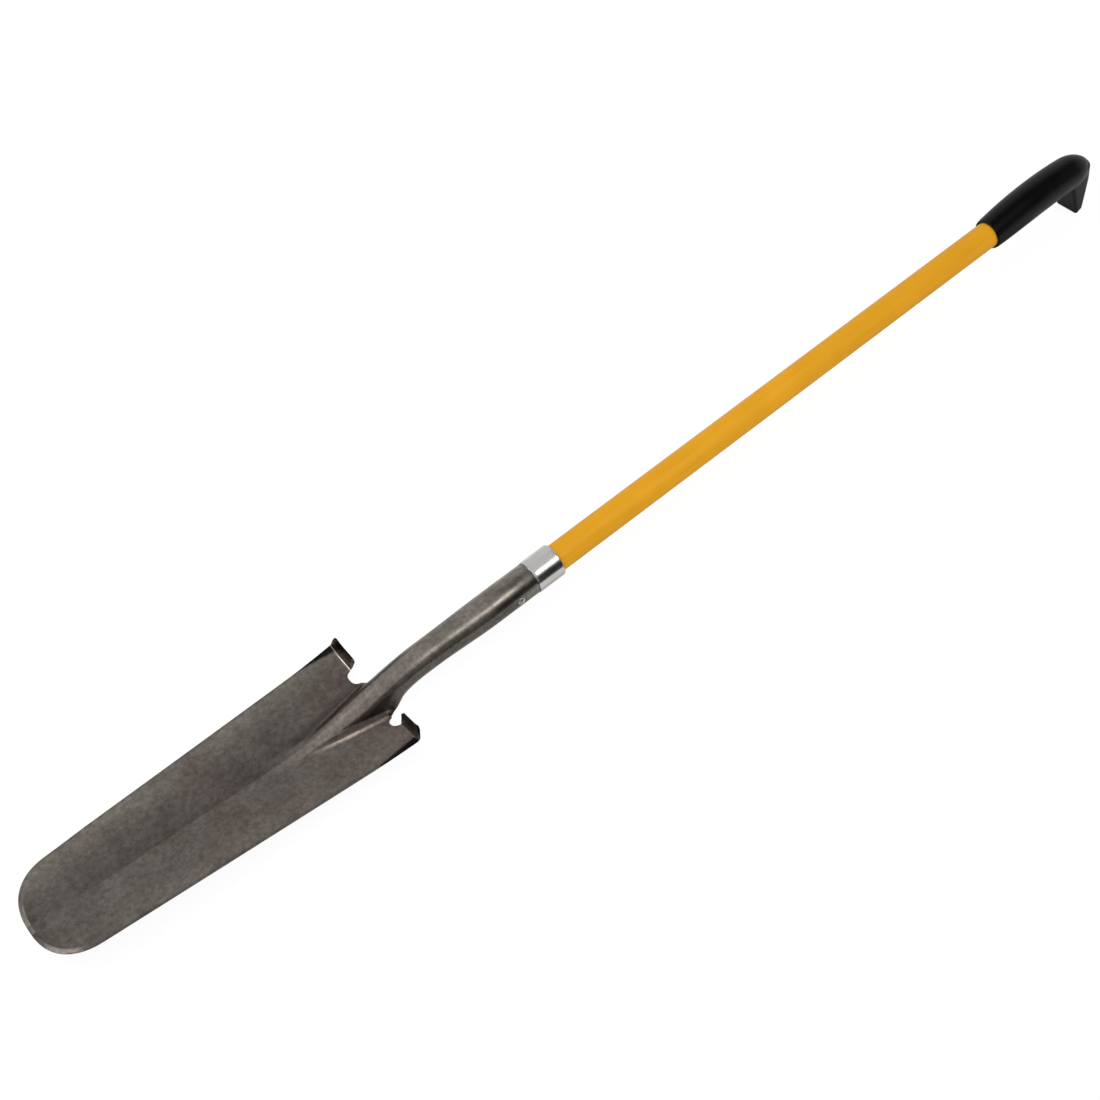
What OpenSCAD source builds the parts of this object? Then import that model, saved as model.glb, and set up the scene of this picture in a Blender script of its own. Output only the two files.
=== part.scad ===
// Long handled trenching spade, lying on its back with the hollow of the blade up.
// Tool frame: X runs along the pole towards the grip and is 0 at the top of the collar,
// Y points to the left edge of the blade, Z points out of the hollow face.
// place() at the end of the file tips the finished tool onto the floor.

/* [Blade] */
// Length of the blade from the tread line to the tip
blade_length = 402.5; // [360:0.5:440]
// Width across the blade at the treads
blade_width = 160; // [150:1:175]
// Width that the straight edges of the blade would reach at the tip
tip_width = 115; // [100:1:130]
// Length of the round tip
tip_length = 52; // [40:1:70]
// Squareness of the round tip, 2 is an ellipse
tip_squareness = 2.4; // [2:0.1:3]
// Thickness of the steel sheet
sheet = 2.4; // [1.8:0.1:3]
// Forward lift of the blade against the pole
lift_angle = 6; // [2:0.5:9]
// Depth of the keel line below the pole axis at the treads
keel_depth = 13; // [9:0.5:16]
// Rise of each wing per unit of width at the treads
dish_treads = 0.198; // [0.12:0.002:0.24]
// Rise of each wing per unit of width at the tip
dish_tip = 0.104; // [0.06:0.002:0.16]
// Width of the ground cutting edge round the tip
ground_edge = 5; // [2:0.5:8]
// Thickness left on the cutting edge
edge_thickness = 0.9; // [0.5:0.1:1.5]

/* [Treads] */
// Length of each tread along its fold
tread_length = 34; // [26:1:36]
// Height of the straight flap of a tread
tread_flap = 12; // [8:0.5:18]
// Angle by which a tread is turned forward out of the wing
tread_turn = 67; // [45:1:90]
// Inside radius of the tread fold
tread_bend = 2.5; // [1.5:0.5:5]
// Corner radius of a tread
tread_corner = 4; // [2:0.5:6]
// Diameter of the relief notch between tread and neck
notch_d = 15; // [10:0.5:16]
// Sheet left between the notch and the end of the tread
notch_land = 0.5; // [0.5:0.5:4]
// Height of the notch centre above the tread line
notch_rise = 1; // [0:0.5:3]
// Height by which the edges of the wings curl up at the treads
curl_height = 3.5; // [0:0.5:5]
// Width of the curled strip along each edge
curl_width = 14; // [8:1:20]
// Length over which the curl dies away below the treads
curl_length = 55; // [30:1:90]

/* [Frog and neck] */
// Length of the frog, the raised ridge that runs from the neck out onto the blade
frog_length = 114.5; // [100:0.5:150]
// Half width of the frog at the treads, where its fillets run out in the wings
frog_foot = 28; // [25:0.5:31]
// Half width of the soft keel that the frog fades into
keel_foot = 6; // [4:0.5:10]
// Radius of the frog's crown at the treads
frog_crown = 16.6; // [15:0.1:18]
// Radius of the fillets beside the frog at the treads
frog_fillet = 7; // [5:0.5:9]
// Radius of the fillets beside the keel
keel_fillet = 18; // [12:1:24]
// Distance above the treads at which the crest starts to dip
crest_lead = 60; // [45:1:70]
// Length over which the flanks roll shut to a tube above the treads
roll_length = 62.5; // [50:0.5:80]
// Length of plain neck between the roll and the taper
neck_plain = 9; // [4:1:20]
// Outside diameter of the neck, the thinnest part of the tube
neck_d = 33.5; // [30:0.5:36]
// Length of the taper from neck to socket
neck_taper = 82; // [60:1:100]
// Half angle of the open seam along the back of the tube
seam_half = 2; // [1:0.5:6]

/* [Socket and collar] */
// Clearance between pole and socket
socket_gap = 0.2; // [0.15:0.05:0.4]
// Length of the straight socket below the collar
socket_straight = 56; // [48:1:80]
// Length of the collar
collar_length = 35; // [25:1:45]
// Height by which the collar stands proud of the socket
collar_step = 0.7; // [0.5:0.1:1]
// Wall of the collar over the necked down end of the socket
collar_wall = 1.2; // [1.1:0.1:1.5]
// Length of the lip that closes in on the pole
collar_lip = 6; // [4:0.5:9]
// Clearance between the lip and the pole
lip_gap = 0.3; // [0.2:0.05:0.4]
// Radius of the rounded lip
lip_round = 2; // [1:0.25:2.5]
// Clearance between the collar and the necked down end of the socket
seat_gap = 0.05; // [0.05:0.05:0.2]

/* [Rivet] */
// Distance of the rivet below the collar
rivet_set = 25; // [10:1:40]
// Diameter of the rivet shank
rivet_d = 6; // [4:0.5:7]
// Diameter of the rivet heads
rivet_head_d = 10; // [9:0.5:13]
// Height of the domed rivet heads
rivet_head_h = 2.4; // [1.5:0.1:3.5]
// Depth of the flat under each rivet head
rivet_flat = 0.6; // [0.3:0.1:1]

/* [Pole and core] */
// Outside diameter of the pole
pole_d = 31.8; // [28:0.1:34]
// Wall of the pole
pole_wall = 3.5; // [2.5:0.5:5]
// Length of pole between collar and grip
pole_visible = 668; // [400:1:900]
// Length of the stiffening core inside the lower end of the pole
core_length = 180; // [120:1:260]

/* [Grip] */
// Length of the grip along the pole
grip_length = 172; // [150:1:210]
// Wall of the grip round the pole at its mouth
grip_wall = 2.4; // [2:0.1:4]
// Growth of the grip radius at the middle of the barrel
grip_swell = 3.2; // [1:0.1:5]
// Forward shift of the barrel at the palm swell
palm_shift = 5.4; // [2:0.2:6]
// Length of the domed end
dome_length = 34; // [28:1:48]
// Solid end of the grip beyond the pole
grip_end_wall = 26; // [20:1:40]
// Depth of the flared mouth round the pole
mouth_flare = 6; // [2:0.5:9]
// Radial opening of the flared mouth
mouth_open = 1.2; // [0.6:0.1:1.5]
// Drop of the hook's foot below the pole axis
hook_drop = 57.5; // [45:0.5:70]
// Width of the hook
hook_width = 32; // [24:1:36]
// Thickness of the hook's foot along the pole
hook_foot = 8; // [6:0.5:12]
// Distance from the end of the grip to the front of the foot
hook_set = 27; // [24:1:36]
// Distance from the end of the grip to the root of the hook's front face
hook_root_set = 39; // [34:1:48]

/* [Hidden] */
$fn = 64;
cut = 1;

// Fits that follow from the pole and the sheet
pole_r = pole_d / 2;
socket_r = pole_r + socket_gap + sheet;
collar_r = socket_r + collar_step;
seat_r = collar_r - collar_wall;
spigot_r = seat_r - seat_gap;
lip_r = pole_r + lip_gap;
pole_in_socket = collar_length + socket_straight;
rivet_x = -collar_length - rivet_set;
rivet_seat = socket_r - rivet_flat;
grip_bore = grip_length - grip_end_wall;

// Places along the pole
tread_x = -pole_in_socket - neck_taper - neck_plain - roll_length;
socket_end_x = -collar_lip;
grip_x = pole_visible;
grip_end_x = grip_x + grip_length;

// Number of steps in the curves of the head
crown_steps = 6;
flank_steps = 10;
wing_steps = 3;
frog_steps = 13;
roll_steps = 10;
taper_steps = 7;
bend_steps = 5;
tip_angles = [86, 79, 69, 58, 46, 34, 22, 11, 0];

function clamp01(v) = min(max(v, 0), 1);
function smooth(v) = let (u = clamp01(v)) u * u * (3 - 2 * u);
function mix(a, b, v) = a + (b - a) * v;
function round_off(u, n) = pow(max(1 - pow(clamp01(u), n), 0), 1 / n);
function sq(v) = v * v;

// Blade outline and hollow. d is the distance below the tread line, positive towards the tip.
tread_half = blade_width / 2;
tip_half = tip_width / 2;
round_start = blade_length - tip_length;
function keel_z(d) = -keel_depth + d * tan(lift_angle);
function wing_rise(d) = mix(dish_treads, dish_tip, d / blade_length);
function straight_half(d) = mix(tread_half, tip_half, d / blade_length);
function tip_run(d) = clamp01((d - round_start) / tip_length);
function half_width(d) = straight_half(d) * round_off(tip_run(d), tip_squareness);

// Foot of the frog and fillet beside it, both held inside the narrow tip
foot_share = 0.5;
fillet_share = 3;
fillet_fade = 0.35;
function frog_left(d) = clamp01(1 - d / frog_length);
function fall(d) = atan(wing_rise(d));
function foot_y(d) = min(mix(keel_foot, frog_foot, frog_left(d)), half_width(d) * foot_share);
function foot_z(d) = keel_z(d) + foot_y(d) * wing_rise(d);
function fillet_r(d) =
    min(mix(keel_fillet, frog_fillet, pow(frog_left(d), fillet_fade)), fillet_share * foot_y(d));

// Crest line that the top of the tube follows down onto the keel of the blade
function fillet_drop(d) = fillet_r(d) * (1 - cos(fall(d)));
function crest_z(d) =
    mix(socket_r, foot_z(d) - fillet_drop(d), smooth((d + crest_lead) / (crest_lead + frog_length)));

// Frog section as [crown radius, turn of the sheet, length of straight flank].
// Crown and fillet are arcs. The straight flank between them fades out below the treads.
least_height = 0.02;
straight_share = 0.35;
function section(d) =
    let (
        r = fillet_r(d),
        y = foot_y(d) - r * sin(fall(d)),
        z = crest_z(d) - foot_z(d) + fillet_drop(d),
        low = 2 * atan(min(z, -least_height) / y),
        full = (sq(y) + sq(z)) / (2 * max(z, least_height)) - r,
        crown = mix(full, min(frog_crown, full), clamp01(1 - d / frog_length / straight_share)),
        both = crown + r,
        straight = sqrt(max(sq(y) + sq(z) - 2 * both * z, 0))
    )
    z < least_height ? [y / sin(low) - r, low, 0]
        : [crown, atan2(z - both, y) + 90 - atan2(straight, both), straight];

// Half sections of the front face as [y, z, heading], from the middle outwards.
// The heading is the angle by which the sheet falls away from level.
function crown(r, turn, top) =
    [for (i = [0 : crown_steps])
        let (h = turn * i / crown_steps)
        [r * sin(h), top - r * (1 - cos(h)), h]];
fillet_weight = 2;
function flank(from, d) =
    let (
        r = fillet_r(d),
        turn = from[2],
        straight = section(d)[2],
        arc = r * (turn + fall(d)) * PI / 180,
        total = straight + fillet_weight * arc
    )
    [for (i = [1 : flank_steps])
        let (
            run = total * i / flank_steps,
            s = min(run, straight),
            h = turn - (turn + fall(d)) * max(run - straight, 0) / fillet_weight / arc
        )
        [from[0] + s * cos(turn) + r * (sin(turn) - sin(h)),
            from[1] - s * sin(turn) - r * (cos(h) - cos(turn)), h]];

// Wing from the foot of the frog to the edge, which curls up beside the treads
curl_fade = 1.5;
function wing(from, d) =
    let (
        half = half_width(d),
        tread_in = mix(from[0], half, tread_share),
        edge_in = max(half - ground_edge, (tread_in + half) / 2),
        curl = min(curl_width, half / 2),
        lift = curl_height * pow(clamp01(1 - d / curl_length), curl_fade)
    )
    [for (y = [for (i = [0 : wing_steps]) mix(tread_in, edge_in, i / wing_steps), half])
        let (u = clamp01((y - half + curl) / curl))
        [y, from[1] + (y - from[0]) * wing_rise(d) + lift * u * u,
            -atan(wing_rise(d) + 2 * lift * u / curl)]];

// Blade: the crown turns down, the flank curves back up and runs out into the wing
treads_turn = section(0)[1];
tread_reach = tread_length * cos(fall(0));
tread_share = 1 - tread_reach / (tread_half - foot_y(0));
function blade_half(d) =
    let (
        frog = section(d),
        top = crown(frog[0], frog[1], crest_z(d)),
        side = flank(top[crown_steps], d)
    )
    concat(top, side, wing(side[flank_steps - 1], d));

// Neck and socket: the flanks roll inwards until they meet in a seam along the back.
// A short shoulder steps the socket down just below the collar.
roll_fade = 2.6;
roll_lag = 3;
shut = 180 - seam_half;
shoulder = 0.8;
treads_half = slice(blade_half(0), 0, crown_steps + flank_steps);
function rolled(d) = 1 - pow(1 - clamp01(-d / roll_length), roll_fade);
function at_seat(d) = tread_x - d > -collar_length - shoulder / 2;
function tube_r(d) =
    let (start = roll_length + neck_plain)
    at_seat(d) ? spigot_r
        : -d < start ? mix(frog_crown, neck_d / 2, smooth(-d / start))
        : mix(neck_d / 2, socket_r, smooth((-d - start) / neck_taper));
function traced(from, steps, k = 0) =
    k == len(steps) ? []
        : let (
            middle = (from[2] + steps[k][1]) / 2,
            next = [from[0] + steps[k][0] * cos(middle), from[1] - steps[k][0] * sin(middle), steps[k][1]]
        )
        concat([next], traced(next, steps, k + 1));
function neck_half(d) =
    let (
        r = tube_r(d),
        top = crown(r, treads_turn, at_seat(d) ? r : crest_z(d)),
        turn_step = (shut - treads_turn) / flank_steps,
        chord = 2 * r * sin(turn_step / 2),
        steps = [for (i = [1 : flank_steps])
            let (p = treads_half[crown_steps + i], before = treads_half[crown_steps + i - 1])
            [mix(norm([p[0] - before[0], p[1] - before[1]]), chord, pow(rolled(d), roll_lag)),
                mix(p[2], treads_turn + turn_step * i, rolled(d))]]
    )
    d == 0 ? treads_half : concat(top, traced(top[crown_steps], steps));

// Depth ground off the front face near the outline of the tip
function ground(d, y) =
    let (
        reach = pow(pow(tip_run(d), tip_squareness)
            + pow(abs(y) / straight_half(d), tip_squareness), 1 / tip_squareness),
        inside = (1 - reach) * tip_half
    )
    (sheet - edge_thickness) * clamp01(1 - inside / ground_edge)
        * smooth((d - round_start + tip_length) / tip_length);

// Rows of points across both faces of the sheet, from the left edge to the right edge
function slice(list, from, to) = [for (i = [from : to]) list[i]];
function across(half) =
    let (last = len(half) - 1)
    concat([for (i = [last : -1 : 1]) half[i]], [for (p = half) [-p[0], p[1], -p[2]]]);
function sunk(d, p, depth) = [tread_x - d, p[0] - depth * sin(p[2]), p[1] - depth * cos(p[2])];
function wall(d) = at_seat(d) ? spigot_r - pole_r - socket_gap : sheet;
function front_row(d, row) = [for (p = row) sunk(d, p, ground(d, p[0]))];
function back_row(d, row) = [for (p = row) sunk(d, p, wall(d))];

// A patch of sheet is [rows of the front face, rows of the back face]
blade_stations = concat(
    [for (angle = tip_angles) round_start + tip_length * sin(angle)],
    [for (i = [frog_steps : -1 : 0]) frog_length * i / frog_steps]
);
neck_stations = concat(
    [for (i = [0 : roll_steps]) -roll_length * i / roll_steps],
    [for (i = [0 : taper_steps]) -roll_length - neck_plain - neck_taper * i / taper_steps],
    [for (x = [-collar_length - shoulder, -collar_length, socket_end_x]) tread_x - x]
);
blade = [
    [for (d = blade_stations) front_row(d, across(blade_half(d)))],
    [for (d = blade_stations) back_row(d, across(blade_half(d)))]
];
neck = [
    [for (d = neck_stations) front_row(d, across(neck_half(d)))],
    [for (d = neck_stations) back_row(d, across(neck_half(d)))]
];

// Treads: the outer columns of each wing carried on round the fold and out along the flap.
// Each step is [turn of the sheet, length of flap, inset of both corners].
tread_steps = concat(
    [for (i = [0 : bend_steps]) [tread_turn * i / bend_steps, 0, 0]],
    [for (a = [0 : 30 : 90])
        [tread_turn, tread_flap - tread_corner * (1 - sin(a)), tread_corner * (1 - cos(a))]]
);
function tread_row(base, bend, turn, flap, inset) =
    let (
        span = base[len(base) - 1] - base[0],
        reach = norm(span),
        right = span / reach,
        out = cross(right, [1, 0, 0]),
        along = bend * sin(turn) + flap * cos(turn),
        up = bend * (1 - cos(turn)) + flap * sin(turn)
    )
    [for (p = base)
        let (w = norm(p - base[0]) / reach)
        p + inset * (1 - 2 * w) * right + along * [1, 0, 0] + up * out];
function tread(from, to) = [for (face = [0, 1])
    let (base = slice(blade[face][len(blade_stations) - 1], from, to))
    [for (step = tread_steps) tread_row(base, tread_bend + face * sheet, step[0], step[1], step[2])]];

// Faces of a patch and the rims round its free edges, each a grid of points
function column(grid, j) = [for (row = grid) row[j]];
function turned(grid) = [for (row = grid) [for (j = [len(row) - 1 : -1 : 0]) row[j]]];
function faces(patch) = [patch[0], turned(patch[1])];
function left_rim(patch) = turned([column(patch[1], 0), column(patch[0], 0)]);
function right_rim(patch) =
    let (last = len(patch[0][0]) - 1)
    [column(patch[1], last), column(patch[0], last)];
function low_rim(patch) = [patch[1][0], patch[0][0]];
function high_rim(patch, from, to) =
    let (last = len(patch[0]) - 1)
    [slice(patch[0][last], from, to), slice(patch[1][last], from, to)];
function whole_high_rim(patch) = high_rim(patch, 0, len(patch[0][0]) - 1);

// Closed solid stitched together from grids of points
function points_before(grids, k) =
    k == 0 ? 0 : points_before(grids, k - 1) + len(grids[k - 1]) * len(grids[k - 1][0]);
function grid_faces(grid, base) =
    let (n = len(grid[0]))
    [for (i = [0 : len(grid) - 2]) for (j = [0 : n - 2])
        let (a = base + i * n + j, b = a + 1, c = a + n, e = c + 1)
        each [[a, e, b], [a, c, e]]];
module stitched(grids) {
    polyhedron(
        [for (g = grids) for (row = g) for (p = row) p],
        [for (k = [0 : len(grids) - 1]) each grid_faces(grids[k], points_before(grids, k))]
    );
}

module along_pole(x) {
    translate([x, 0, 0]) rotate([0, 90, 0]) children();
}

module rivet_shank(length) {
    translate([rivet_x, 0, 0]) rotate([90, 0, 0]) cylinder(d = rivet_d, h = length, center = true);
}

module at_rivet_seat(side) {
    translate([rivet_x, side * rivet_seat, 0]) rotate([-side * 90, 0, 0]) children();
}

// Blade, treads, frog, neck and socket are one pressing of sheet steel
module pressing() {
    last = len(blade[0][0]) - 1;
    land = wing_steps + 1;
    left_tread = tread(0, land);
    right_tread = tread(last - land, last);
    blade_rims = [
        low_rim(blade), left_rim(blade), right_rim(blade),
        high_rim(blade, land, land + 1), high_rim(blade, last - land - 1, last - land)
    ];
    upper_rims = [for (patch = [neck, left_tread, right_tread])
        each [left_rim(patch), right_rim(patch), whole_high_rim(patch)]];
    stitched(concat(
        faces(blade), faces(neck), faces(left_tread), faces(right_tread), blade_rims, upper_rims
    ));
}

module head() {
    notch_y = tread_half - tread_reach - notch_land - notch_d / 2;
    color("dimgray") place() difference() {
        pressing();
        for (side = [-1, 1]) {
            translate([tread_x + notch_rise, side * notch_y, -tread_half])
                cylinder(d = notch_d, h = 2 * tread_half);
            at_rivet_seat(side) cylinder(d = rivet_head_d, h = rivet_head_h);
        }
        rivet_shank(2 * socket_r);
    }
}

module collar() {
    color("silver") place() along_pole(-collar_length) rotate_extrude() difference() {
        union() {
            square([collar_r, collar_length - lip_round]);
            square([collar_r - lip_round, collar_length]);
            translate([collar_r - lip_round, collar_length - lip_round]) circle(r = lip_round);
        }
        translate([0, -cut]) square([seat_r, collar_length - collar_lip + cut]);
        translate([0, -cut]) square([lip_r, collar_length + 2 * cut]);
    }
}

module rivet() {
    dome_r = (pow(rivet_head_d / 2, 2) + pow(rivet_head_h, 2)) / (2 * rivet_head_h);
    color("gainsboro") place() {
        rivet_shank(2 * rivet_seat);
        for (side = [-1, 1])
            at_rivet_seat(side) intersection() {
                translate([0, 0, rivet_head_h - dome_r]) sphere(r = dome_r);
                cylinder(d = rivet_head_d, h = rivet_head_h);
            }
    }
}

module pole() {
    length = pole_in_socket + pole_visible + grip_bore;
    color("goldenrod") place() difference() {
        along_pole(-pole_in_socket) difference() {
            cylinder(r = pole_r, h = length);
            translate([0, 0, -cut]) cylinder(r = pole_r - pole_wall, h = length + 2 * cut);
        }
        rivet_shank(2 * pole_d);
    }
}

module core() {
    color("burlywood") place() difference() {
        along_pole(-pole_in_socket) cylinder(r = pole_r - pole_wall, h = core_length);
        rivet_shank(2 * pole_d);
    }
}

// Grip barrel as rings along the pole, a is the distance from the mouth
ring_steps = 40;
barrel_steps = 11;
dome_step = 12;
mouth_round = 0.8;
swell_reach = 0.95;
palm_reach = 1.05;
dome_squareness = 2.1;
dome_start = grip_length - dome_length;
function barrel_r(a) =
    pole_r + grip_wall + grip_swell * sqrt(sin(180 * clamp01(a / grip_length / swell_reach)));
function barrel_z(a) = palm_shift * sin(180 * a / grip_length / palm_reach);
function barrel_scale(a) = round_off((a - dome_start) / dome_length, dome_squareness);
function barrel_ring(a) =
    let (r = barrel_r(a) * barrel_scale(a) - max(mouth_round - a, 0))
    [for (i = [0 : ring_steps - 1])
        let (t = 360 * i / ring_steps)
        [grip_x + a, -r * sin(t), barrel_z(a) + r * cos(t)]];
barrel_stations = concat(
    [0, mouth_round],
    [for (i = [1 : barrel_steps]) dome_start * i / barrel_steps],
    [for (angle = [dome_step : dome_step : 90 - dome_step / 2]) dome_start + dome_length * sin(angle)]
);

// Hook below the end of the grip as rings of the depth, flat in front and rounded behind
nose_steps = 16;
hook_steps = 9;
hook_top = 6;
hook_belly = -14;
hook_corner = 2;
nose_belly = 16;
nose_foot = 3;
foot_slope = 0.4;
foot_x = grip_end_x - hook_set;
function slimmed(z) = clamp01((hook_belly - z) / (hook_drop + hook_belly));
function hook_front(z) = grip_end_x - mix(hook_root_set, hook_set, clamp01(-z / hook_drop));
function hook_side(z) =
    grip_end_x - mix(nose_belly, hook_set - hook_foot, pow(slimmed(z), 2));
function hook_nose(z) = mix(nose_belly, nose_foot, slimmed(z));
function hook_ring(z) =
    let (
        half = hook_width / 2,
        front = hook_front(z),
        rise = z <= -hook_drop ? foot_slope : 0,
        flat = [[front, half - hook_corner], [front, hook_corner - half], [front + hook_corner, -half]],
        nose = [for (i = [0 : nose_steps])
            let (t = -90 + 180 * i / nose_steps)
            [hook_side(z) + hook_nose(z) * cos(t), half * sin(t)]],
        outline = concat(flat, nose, [[front + hook_corner, half]])
    )
    [for (p = outline) [p[0], p[1], z + rise * (p[0] - front)]];
foot_top = foot_slope * (hook_foot + 1) - hook_drop;
hook_levels = concat([-hook_drop], [for (i = [hook_steps : -1 : 0]) mix(hook_top, foot_top, i / hook_steps)]);

// Solid skin over a row of rings that all have the same number of points
module skin(rings) {
    n = len(rings[0]);
    rows = len(rings);
    sides = [for (i = [0 : rows - 2]) for (j = [0 : n - 1])
        let (k = (j + 1) % n, a = i * n + j, b = i * n + k, c = a + n, e = b + n)
        each [[a, e, b], [a, c, e]]];
    first_cap = [for (j = [0 : n - 1]) j];
    last_cap = [for (j = [n - 1 : -1 : 0]) (rows - 1) * n + j];
    polyhedron([for (r = rings) for (p = r) p], concat(sides, [first_cap, last_cap]));
}

module grip() {
    color("darkslategray") place() difference() {
        union() {
            skin([for (a = barrel_stations) barrel_ring(a)]);
            skin([for (z = hook_levels) hook_ring(z)]);
        }
        along_pole(grip_x - cut) cylinder(r = pole_r, h = grip_bore + cut);
        along_pole(grip_x) cylinder(r1 = pole_r + mouth_open, r2 = pole_r, h = mouth_flare);
    }
}

// Rest on the floor: the back of the head and the hook's foot touch Z = 0,
// and X and Y are 0 in the middle of the tool
head_points = [for (patch = [blade, neck]) for (grid = patch) for (row = grid) for (p = row) p];
rest_tilt = atan(min([for (p = head_points) (p.z + hook_drop) / (foot_x - p.x)]));
function tipped_x(p) = p.x * cos(rest_tilt) - p.z * sin(rest_tilt);
function tipped_z(p) = p.x * sin(rest_tilt) + p.z * cos(rest_tilt);
tip_end = min([for (p = head_points) tipped_x(p)]);
grip_end = max([for (a = barrel_stations) for (p = barrel_ring(a)) tipped_x(p)]);
floor_z = tipped_z([foot_x, 0, -hook_drop]);

module place() {
    translate([-(tip_end + grip_end) / 2, 0, -floor_z]) rotate([0, -rest_tilt, 0]) children();
}

head();
collar();
rivet();
pole();
core();
grip();
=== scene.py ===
"""Trenching spade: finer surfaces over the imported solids, materials, studio light and camera.

Sizes are millimetres in the tool frame of the solids: X runs along the pole from the top of the
collar towards the grip, Y to the left edge of the blade, and Z out of the blade's hollow face.
"""

import math

import bmesh
import bpy
import numpy as np
from mathutils import Matrix, Vector


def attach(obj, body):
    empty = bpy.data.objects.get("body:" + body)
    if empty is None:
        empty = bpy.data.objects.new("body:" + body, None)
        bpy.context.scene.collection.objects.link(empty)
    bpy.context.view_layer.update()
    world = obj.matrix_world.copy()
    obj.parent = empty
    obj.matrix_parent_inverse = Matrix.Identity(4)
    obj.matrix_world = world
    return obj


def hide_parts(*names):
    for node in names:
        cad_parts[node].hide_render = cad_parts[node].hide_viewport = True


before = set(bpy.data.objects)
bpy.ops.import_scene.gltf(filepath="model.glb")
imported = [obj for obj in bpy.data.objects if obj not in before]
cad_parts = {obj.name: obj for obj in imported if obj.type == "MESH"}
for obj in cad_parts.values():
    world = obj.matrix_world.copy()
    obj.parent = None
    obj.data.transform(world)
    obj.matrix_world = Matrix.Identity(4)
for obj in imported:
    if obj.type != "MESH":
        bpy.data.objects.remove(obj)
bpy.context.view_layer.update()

# Blade
BLADE_LENGTH = 402.5
BLADE_WIDTH = 160.0
TIP_WIDTH = 115.0
TIP_LENGTH = 52.0
TIP_SQUARENESS = 2.4
SHEET = 2.4
LIFT = math.radians(6)
KEEL_DEPTH = 13.0
DISH_TREADS = 0.198
DISH_TIP = 0.104
GROUND_EDGE = 5.0
EDGE_THICKNESS = 0.9
CURL_HEIGHT = 3.5
CURL_WIDTH = 14.0
CURL_LENGTH = 55.0
CURL_FADE = 1.5

# Treads and the notches beside them
TREAD_LENGTH = 34.0
TREAD_FLAP = 12.0
TREAD_TURN = math.radians(67)
TREAD_BEND = 2.5
TREAD_CORNER = 4.0
NOTCH_D = 15.0
NOTCH_LAND = 0.5
NOTCH_RISE = 1.0
NOTCH_RUN = 1.0
NOTCH_CUT = 60.0

# Frog
FROG_LENGTH = 114.5
FROG_FOOT = 28.0
KEEL_FOOT = 6.0
FROG_CROWN = 16.6
FROG_FILLET = 7.0
KEEL_FILLET = 18.0
FILLET_FADE = 0.35
FILLET_MOST = 3
CREST_LEAD = 60.0
LEAST_HEIGHT = 0.02
STRAIGHT_SHARE = 0.35

# Neck and socket
ROLL_LENGTH = 62.5
ROLL_FADE = 2.6
ROLL_LAG = 3.0
NECK_PLAIN = 9.0
NECK_D = 33.5
NECK_TAPER = 82.0
SEAM_HALF = math.radians(2)
POLE_R = 15.9
SOCKET_GAP = 0.2
SOCKET_STRAIGHT = 56.0
SHOULDER = 0.8

# Collar
COLLAR_LENGTH = 35.0
COLLAR_STEP = 0.7
COLLAR_WALL = 1.2
COLLAR_LIP = 6.0
LIP_ROUND = 2.0
LIP_GAP = 0.3
SEAT_GAP = 0.05

# Rivet, and the flats that its heads sit on
RIVET_SET = 25.0
RIVET_D = 6.0
RIVET_HEAD_D = 10.0
RIVET_FLAT = 0.6
FLAT_GAP = 0.4
FLAT_CUT = 4.0
HOLE_REACH = 30.0

# Grip
POLE_VISIBLE = 668.0
GRIP_LENGTH = 172.0
GRIP_WALL = 2.4
GRIP_SWELL = 3.2
SWELL_SHARE = 0.95
PALM_SHIFT = 5.4
PALM_SHARE = 1.05
DOME_LENGTH = 34.0
DOME_SQUARENESS = 2.1
GRIP_END_WALL = 26.0
BORE_GAP = 0.02
BORE_LEAD = 5.0
MOUTH_EASE = 0.8
MOUTH_FLARE = 6.0
MOUTH_OPEN = 1.2
MOUTH_LEAD = 1.5

# Hook at the end of the grip
HOOK_DROP = 57.5
HOOK_WIDTH = 32.0
HOOK_FOOT = 8.0
HOOK_SET = 27.0
HOOK_ROOT_SET = 39.0
HOOK_CORNER = 2.0
HOOK_SOLE = 3.6
HOOK_TOP = 6.0
SOLE_RISE = 0.4
BELLY_Z = -14.0
NOSE_BELLY = 16.0
NOSE_FOOT = 3.0

# Sizes that follow from the others
SOCKET_R = POLE_R + SOCKET_GAP + SHEET
COLLAR_R = SOCKET_R + COLLAR_STEP
SEAT_R = COLLAR_R - COLLAR_WALL
SPIGOT_R = SEAT_R - SEAT_GAP
TREAD_X = -COLLAR_LENGTH - SOCKET_STRAIGHT - NECK_TAPER - NECK_PLAIN - ROLL_LENGTH
RIVET_X = -COLLAR_LENGTH - RIVET_SET
GRIP_END = POLE_VISIBLE + GRIP_LENGTH
ROUND_START = BLADE_LENGTH - TIP_LENGTH

# Place of the tool frame on the floor
REST_TILT = math.radians(2.30257)
REST_MID = 95.8467
REST_FLOOR = -24.7901

# Steps across the head, and rows of points along it
CROWN_STEPS = 18
FLANK_STEPS = 30
LAND_STEPS = 4
WING_STEPS = 16
EDGE_STEPS = 3
FILLET_WEIGHT = 2.0
TIP_ROWS = 30
TIP_LAST_TURN = 88.5
BLADE_ROWS = 22
FROG_ROWS = 59
ROLL_ROWS = 40
TAPER_ROWS = 26
BEND_STEPS = 10
CORNER_ROWS = 7

# Edges softened, and angles in degrees above which an edge stays sharp
HEAD_EASE = 0.45
HEAD_EASE_ANGLE = 50
HEAD_SHARP = 38
COLLAR_SHARP = 40
GRIP_SHARP = 50


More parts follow.
